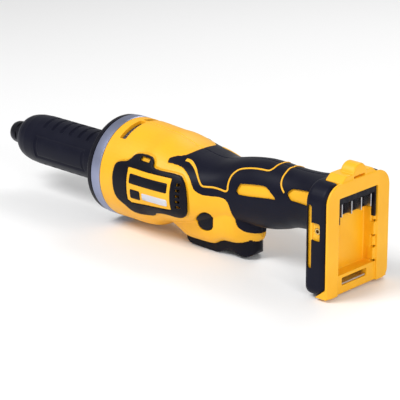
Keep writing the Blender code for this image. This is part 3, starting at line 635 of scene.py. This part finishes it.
def front_end():
    """The flange with its screws, the metal ring and the collet nut."""
    flange = turned(
        "flange_plate",
        [(FLANGE_FRONT, 24.3), (FLANGE_FRONT, 41.4), (FLANGE_FRONT + 0.5, 42.4), (FLANGE_FRONT + 1.4, 43.2),
         (FLANGE_FRONT + 2.4, 43.6), (RING_FRONT - GAP, 43.6), (RING_FRONT - GAP, 24.3)],
        128,
    )
    seats = []
    for i in range(4):
        a = math.radians(45 + 90 * i)
        place = (SCREW_CIRCLE * math.cos(a), SCREW_CIRCLE * math.sin(a))
        seat = [
            (-270, 0), (-270, 4.6), (FLANGE_FRONT + 0.4, 4.5), (FLANGE_FRONT + 2, 4.2), (-262, 4.2),
            (-262, 0),
        ]
        seats.append(turned("seat", seat, 32, place))
        tip = FLANGE_FRONT - 1.4
        head = turned(
            f"screw_head_{i + 1}",
            [(tip, 0), (tip, 2.9), (tip + 0.25, 3.3), (tip + 0.7, 3.5), (FLANGE_FRONT + 1.6, 3.8),
             (FLANGE_FRONT + 1.6, 1.8), (-257, 1.8), (-257, 0)], 32, place,
        )
        hexagon = [(tip - 1, 0), (tip - 1, 1.75), (tip + 1.6, 1.75), (tip + 1.6, 0)]
        cut(head, turned(f"socket_{i + 1}", hexagon, 6, place))
        head.data.set_sharp_from_angle(angle=math.radians(30))
        dress(head, "dark_steel", stands_for=[f"flange_screw_{i + 1}"])
    cut(flange, *seats)
    flange.data.set_sharp_from_angle(angle=math.radians(28))
    dress(flange, "black", stands_for=["front_flange"])

    ring = turned(
        "cast_ring",
        [(RING_FRONT, 24.3), (RING_FRONT, 42.6), (RING_FRONT + 0.3, 43.3), (RING_FRONT + 1.0, 43.9),
         (RING_FRONT + 1.8, 44.2), (RING_REAR - 0.6, 44.2), (RING_REAR, 43.7), (RING_REAR, 40.5),
         (RING_REAR + 8, 40.5), (RING_REAR + 8, 37.5), (-256, 37.5), (-256, 24.3)], 128,
    )
    dress(ring, "alloy", stands_for=["flange_ring"])

    nut = turned(
        "nut_body",
        [(NOSE_TIP, 4.4), (NOSE_TIP, 7.3), (NOSE_TIP + 0.5, 8.2), (NOSE_TIP + 1.4, 9.0), (NOSE_TIP + 3, 9.7),
         (NOSE_TIP + 5.0, 10.05), (NOSE_TIP + 6.5, NUT_R), (-385, NUT_R), (-384.5, 9.9), (-384.5, 6.6),
         (NOSE_TIP + 4, 6.6), (NOSE_TIP + 4, 4.4)], 96,
    )
    for i in range(6):
        flat = box(f"flat_{i + 1}", (-396, -389.5), (9.4, 14), (-8, 8))
        flat.rotation_euler = (math.radians(60 * i), 0, 0)
        cut(nut, flat)
    nut.data.set_sharp_from_angle(angle=math.radians(30))
    dress(nut, "dark_steel", "spindle", ["collet_nut"])


# ---------------------------------------------------------------- body
def body_form(name, inset=0.0):
    return join(loft(name, (-248.7 + inset, -20.4), inset), guard(f"{name}_guard", inset))


def housing(tag, side):
    """One clamshell of the yellow housing, with its openings and the bed for the rubber."""
    shell = body_form(f"shell_{tag}")
    join(shell, prism("foot", foot_core_outline(), -21.7, RECEIVER_FRONT - GAP, "X"))
    step = cut(
        prism("step", curve_grip(), -80, 80),
        join(loft("seat", (-190, -20), GRIP_THICK + 0.1), guard("seat_guard", GRIP_THICK + 0.1)),
    )
    hollow = loft("hollow", (-260, -15), offset=4.0, pitch=4.0, around=48)
    foot_hollow = prism("foot_hollow", rounded((-33.0, 33.0), (-42, 40), (4, 4, 10, 10)), -19.2, -10, "X")
    bay = trigger_plan(-60, -15, 0.9)
    cut(shell, step, hollow, foot_hollow, bay)
    cut(
        shell,
        prism("hole", button_outline(1.06), -60, 60),
        exhaust_slots("exhaust"),
        box("intake", (-163, -155), reach(side, 20, 60), (-8, 15)),
        cover_bed(side),
    )
    keep(shell, half_box("half", side))
    soften(shell, 0.6, 4, 0.45)
    dress(shell, "yellow", stands_for=[f"housing_{tag}"])


def exhaust_slots(name):
    """Two arcs over the top of the motor, parted by a thin rib."""
    arcs = []
    for low, high in ((-27.0, -1.2), (1.2, 27.0)):
        arcs.append(box(f"{name}_{low}", (-240, -233), (low, high), (22, 60)))
    return join(*arcs)


def grille():
    """The grey grille seen through the exhaust slots: a curved strip with fine bars across it."""
    strip = turned("exhaust_grille", [(-241.5, 38.6), (-241.5, 39.8), (-231.5, 39.8), (-231.5, 38.6)], 160)
    keep(strip, box("span", (-243, -230), (-28, 28), (10, 50)))
    bars = []
    for i in range(19):
        bars.append(box(f"gap_{i}", (-239.6, -233.4), (-27.4 + 2.9 * i, -25.8 + 2.9 * i), (10, 50)))
    cut(strip, *bars)
    dress(strip, "grille")


def cover_bed(side):
    """A shallow bed round the intake cover."""
    bed = prism("bed", grown(curve_through(COVER, 4), 0.9), *reach(side, 20, 80))
    return cut(bed, loft("bed_floor", (-240, -140), 0.7))


def curve_grip():
    """The grip's outline with its front edge smoothed."""
    return curve_through(GRIP[:4], 4, False) + list(GRIP[4:8]) + curve_through(GRIP[8:], 4, False)


def grip(tag, side):
    """The soft rubber over one side of the handle and waist, with its two windows."""
    rubber = join(
        loft(f"rubber_{tag}", (-189, FOOT_FRONT - GAP - 1), 0.0), guard(f"bulge_{tag}")
    )
    keep(rubber, prism("outline", grown(curve_grip(), -0.25), -80, 80))
    cut(rubber, join(loft("inner", (-192, -20), GRIP_THICK), guard("inner_guard", GRIP_THICK)))
    cut(rubber, trigger_plan(-60, -18, 0.9))
    for outline in (WINDOW_FRONT, WINDOW_REAR):
        cut(rubber, prism("window", curve_through(outline, 3), *reach(side, 8, 60)))
    keep(rubber, half_box("half", side))
    soften(rubber, 0.5, 5, 0.45)
    dress(rubber, "rubber", stands_for=[f"grip_{tag}"])
    return rubber


def seam_lines(tag, side, rubber):
    """The thin yellow lines that stand in the rubber: crowned strips laid along its surface."""
    mesh = rubber.data
    tree = BVHTree.FromPolygons([v.co for v in mesh.vertices], [p.vertices for p in mesh.polygons])
    for label, points in (("front", LINE_FRONT), ("rear", LINE_REAR)):
        path = [Vector((x - ORIGIN_X, side * y, z)) * MM for x, y, z in curve_through(points, 7, False)]
        spots = []
        for point in path:
            hit, normal, _, _ = tree.find_nearest(point)
            centre = Vector((point.x, 0.0, 0.012))
            out = (hit - centre).normalized()
            spots.append((hit, normal if normal.dot(out) > 0.3 else out))
        rows = []
        for i, (spot, normal) in enumerate(spots):
            along = (spots[min(i + 1, len(spots) - 1)][0] - spots[max(i - 1, 0)][0]).normalized()
            across = along.cross(normal).normalized()
            share = i / (len(spots) - 1)
            swell = smoothstep(1 - share / 0.16) if label == "front" else 0.0
            half = (0.62 + 1.1 * swell) * MM
            row = []
            for k in range(7):
                t = -1 + k / 3
                lift = (0.38 * math.sqrt(max(0.0, 1 - t * t)) - 0.1) * MM
                row.append((spot + across * half * t + normal * lift) / MM)
            rows.append([(v.x + ORIGIN_X, v.y, v.z) for v in row])
        verts = [v for row in rows for v in row]
        faces = []
        for i in range(len(rows) - 1):
            faces += [(i * 7 + k, i * 7 + k + 1, i * 7 + 8 + k, i * 7 + 7 + k) for k in range(6)]
        strip = add(f"line_{label}_{tag}", verts, faces, 60.0)
        thick = strip.modifiers.new("thick", "SOLIDIFY")
        thick.thickness = 0.5 * MM
        thick.offset = 0
        bake(strip)
        dress(strip, "yellow")


def cover(tag, side):
    """The intake cover, with a framed badge plate and small intake slots."""
    plate = loft(f"cover_plate_{tag}", (-236, -146), -2.0, 2.0, 96)
    cut(plate, loft("inner", (-240, -142), -0.1, 2.0, 96))
    keep(plate, prism("outline", curve_through(COVER, 4), *reach(side, 20, 80)))
    cutters = [prism("badge", grown(BADGE, 0.3), *reach(side, 20, 80))]
    for i in range(5):
        z = 13 - 4.8 * i
        cutters.append(box(f"slot_{i}", (-161, -156.5), reach(side, 20, 80), (z - 1.2, z + 1.2)))
    cutters.append(box("tab", (-205, -194), reach(side, 20, 80), (24, 27.5)))
    cut(plate, *cutters)
    soften(plate, 0.38, 4, 0.5)
    dress(plate, "black", stands_for=[f"vent_cover_{tag}"])

    badge = loft(f"badge_plate_{tag}", (-218, -162), -1.6, 2.0, 96)
    cut(badge, loft("inner", (-222, -158), -0.1, 2.0, 96))
    keep(badge, prism("outline", BADGE, *reach(side, 20, 80)))
    soften(badge, 0.38, 3, 0.4)
    dress(badge, "yellow", stands_for=[f"badge_{tag}"])
    for i, (x, z, finish) in enumerate((
        ((-211.5, -169), (4.4, 12.6), "black"), ((-210, -199), (-8.5, -0.5), "black"),
        ((-196.5, -169), (-7.4, -1.4), "print_grey"),
    )):
        bar = loft(f"badge_bar_{tag}_{i + 1}", (x[0] - 3, x[1] + 3), -1.95, 2.0, 96)
        cut(bar, loft("inner", (x[0] - 6, x[1] + 6), -1.2, 2.0, 96))
        keep(bar, prism("outline", rounded(x, z, (1.2,) * 4, 6), *reach(side, 20, 80)))
        dress(bar, finish)


def bumper(tag, side):
    """One half of the bumper round the foot, with its side slot and the pocket for a belt clip."""
    outline = rounded((-FOOT_HALF_WIDTH, FOOT_HALF_WIDTH), (FOOT_BOTTOM, FOOT_TOP), (8, 8, 16, 16))
    rubber = prism(f"bumper_{tag}", outline, FOOT_FRONT, -2.3, "X")
    bevel(rubber, 5.0, 6, 60)
    inner = rounded((-36.2, 36.2), (FOOT_BOTTOM + 2.3, FOOT_TOP - 2.3), (6, 6, 13.3, 13.3))
    slot = [(b, a) for a, b in rounded((-24, 29), (-21, -16.5), (2.2,) * 4)]
    pocket = [(b, a) for a, b in rounded((0, 15), (-16.6, -8.4), (1.5,) * 4)]
    cut(
        rubber,
        prism("inner", inner, -22.0, 5, "X"),
        loft("handle", (-40, -15), -0.1),
        prism("slant", ((-14, -60), (-14, -47.5), (-1, -37), (6, -37), (6, -60)), -60, 60),
        prism("slot", slot, *reach(side, 30, 60)),
        prism("pocket", pocket, *reach(side, 30, 60)),
        box("hump", (RECEIVER_FRONT - GAP, 6), (-22.6, 22.6), (40, 70)),
    )
    keep(rubber, half_box("half", side))
    soften(rubber, 0.5, 4, 0.5)
    dress(rubber, "rubber", stands_for=[f"foot_bumper_{tag}"])


# Small clips on the right rail of the bay: low z, high z, inner y, rear x
RAIL_CLIPS = (
    (-29.0, -19.0, 20.6, -1.6), (-17.5, -9.5, 21.4, -2.4), (-8.0, 3.0, 20.9, -1.2), (4.5, 9.0, 22.0, -2.2),
)


def receiver():
    """The battery receiver, with the small clips on its right rail."""
    outline = rounded((-FOOT_HALF_WIDTH, FOOT_HALF_WIDTH), (FOOT_BOTTOM, FOOT_TOP), (7, 7, 15, 15))
    plate = prism("receiver_body", outline, -2.0, 0.0, "X")
    core = prism("core", foot_core_outline(), RECEIVER_FRONT, -1.0, "X")
    corner = prism("corner", ((-12.6, -47), (-1.0, -37.7), (-1.0, -47)), -38.2, 38.2)
    hump_outline = ((-22, 40), (-22, 46), (-16, 50.5), (16, 50.5), (22, 46), (22, 40))
    hump = prism("hump", hump_outline, RECEIVER_FRONT, -0.4, "X")
    boss_profile = [(-13.5, 0), (-13.5, 7.5), (-12, 8.8), (-1, 8.8), (0, 8.0), (0, 0)]
    boss = turned("boss", boss_profile, 64, (0, 49.0))
    join(plate, core, corner, hump, boss)
    cut(
        plate,
        box("boss_slot", (-4, 2), (-7, 7), (46.4, 48.2)),
        box("mouth", (-5.0, 3), (-BAY_HALF_WIDTH, BAY_HALF_WIDTH), (-31, BAY_TOP)),
        box("sill", (-2.0, 3), (-BAY_HALF_WIDTH, BAY_HALF_WIDTH), (-60, -30)),
        box("floor", (-BAY_DEPTH, -3), (-21, 21), (-31, BAY_TOP)),
        box("channel_left", (-4.8, -2.4), (-28.5, -23), (-42, 10)),
        box("channel_right", (-4.8, -2.4), (23, 28.5), (-42, 10)),
        box("latch", (-BAY_DEPTH - 1.0, -1), (-17, 14), (-40.5, -34)),
        box("port", (-20, -3), (-BAY_HALF_WIDTH + 0.5, BAY_HALF_WIDTH - 0.5), (15, BAY_TOP - 0.5)),
        cross_rod("seat_1", CLIP, (-40, -28.7), 2.9),
        cross_rod("seat_2", CLIP, (28.7, 40), 2.9),
    )
    for i, (low, high, reach_in, face) in enumerate(RAIL_CLIPS):
        join(plate, box(f"rail_clip_{i + 1}", (-7.5, face), (reach_in, 24.6), (low, high)))
    soften(plate, 0.45, 4, 0.5)
    dress(plate, "yellow", stands_for=["battery_receiver"])


def controls():
    """The trigger and the lock button."""
    lever = prism("trigger_lever", curve_through(TRIGGER[:13], 4, False) + list(TRIGGER[13:]), -15, 15)
    keep(lever, trigger_plan(-60, -20))
    bevel(lever, 2.4, 4, 40)
    join(lever, box("arm", (-172, -164), (-8, 8), (-38, -29.5)))
    cut(lever, cross_rod("bore", TRIGGER_PIVOT, (-20, 20), 2.3))
    soften(lever, 0.45, 7, 0.6)
    dress(lever, "black", "trigger", ["trigger"])

    button = prism("button_body", button_outline(1.0), -40, 40)
    keep(button, join(loft("crown", (-170, -125), 0.4), guard("skirt", 0.4)))
    soften(button, 0.4, 5, 0.6)
    dress(button, "black", "lock_button", ["lock_button"])


# ---------------------------------------------------------------- the model
boot()
front_end()
for tag, side in SIDES:
    housing(tag, side)
    seam_lines(tag, side, grip(tag, side))
    cover(tag, side)
    bumper(tag, side)
grille()
receiver()
controls()

slots = {row["node"]: row["material_slot"] for row in frame["record"]["subparts"]}
for node, obj in frame["nodes"].items():
    obj.data.materials.clear()
    obj.data.materials.append(MATERIALS[slots[node]])


# ---------------------------------------------------------------- studio
def studio():
    """A pale floor, an even surround and three soft lights."""
    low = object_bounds()[0]
    bpy.ops.mesh.primitive_plane_add(size=8.0, location=(-0.2, 0, low[2] - 0.0005))
    floor = bpy.context.object
    floor.name = "floor"
    made, tree, shader = nodes_of("floor")
    shader.inputs["Base Color"].default_value = (0.92, 0.92, 0.92, 1.0)
    shader.inputs["Roughness"].default_value = 0.6
    floor.data.materials.append(made)
    floor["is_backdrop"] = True

    world = bpy.data.worlds.new("studio")
    bpy.context.scene.world = world
    world.use_nodes = True
    world.node_tree.nodes["Background"].inputs["Color"].default_value = (1.0, 1.0, 1.0, 1.0)
    world.node_tree.nodes["Background"].inputs["Strength"].default_value = 0.45

    target = Vector((-0.19, 0.0, 0.0))
    for name, place, size, power in (
        ("key", (-0.5, -0.9, 1.1), 0.6, 14.0),
        ("fill", (0.9, -0.5, 0.5), 0.5, 6.0),
        ("back", (-0.3, 0.9, 0.9), 0.6, 5.0),
    ):
        data = bpy.data.lights.new(name, "AREA")
        data.energy, data.size = power, size
        light = bpy.data.objects.new(name, data)
        light.location = place
        light.rotation_euler = (target - Vector(place)).to_track_quat("-Z", "Y").to_euler()
        bpy.context.scene.collection.objects.link(light)


def camera():
    """Looks from the rear left, a little above, with the spindle axis across the view."""
    azimuth, elevation, roll = math.radians(43.37), math.radians(19.26), math.radians(-0.29)
    distance, focal = 1.49233, 170.47
    across, down = 0.12494, -0.02584
    level = math.cos(elevation)
    back = Vector((math.sin(azimuth) * level, -math.cos(azimuth) * level, math.sin(elevation)))
    right = Vector((math.cos(azimuth), math.sin(azimuth), 0.0))
    up = back.cross(right)
    right, up = right * math.cos(roll) + up * math.sin(roll), up * math.cos(roll) - right * math.sin(roll)
    rear_face = Vector((-ORIGIN_X * MM, 0.0, 0.0))
    data = bpy.data.cameras.new("camera")
    data.lens, data.sensor_width = focal, 36.0
    made = bpy.data.objects.new("camera", data)
    spot = rear_face - across * right - down * up + distance * back
    made.matrix_world = Matrix.Translation(spot) @ Matrix((right, up, back)).transposed().to_4x4()
    bpy.context.scene.collection.objects.link(made)
    bpy.context.scene.camera = made


studio()
camera()
bpy.context.scene.view_settings.view_transform = "Standard"
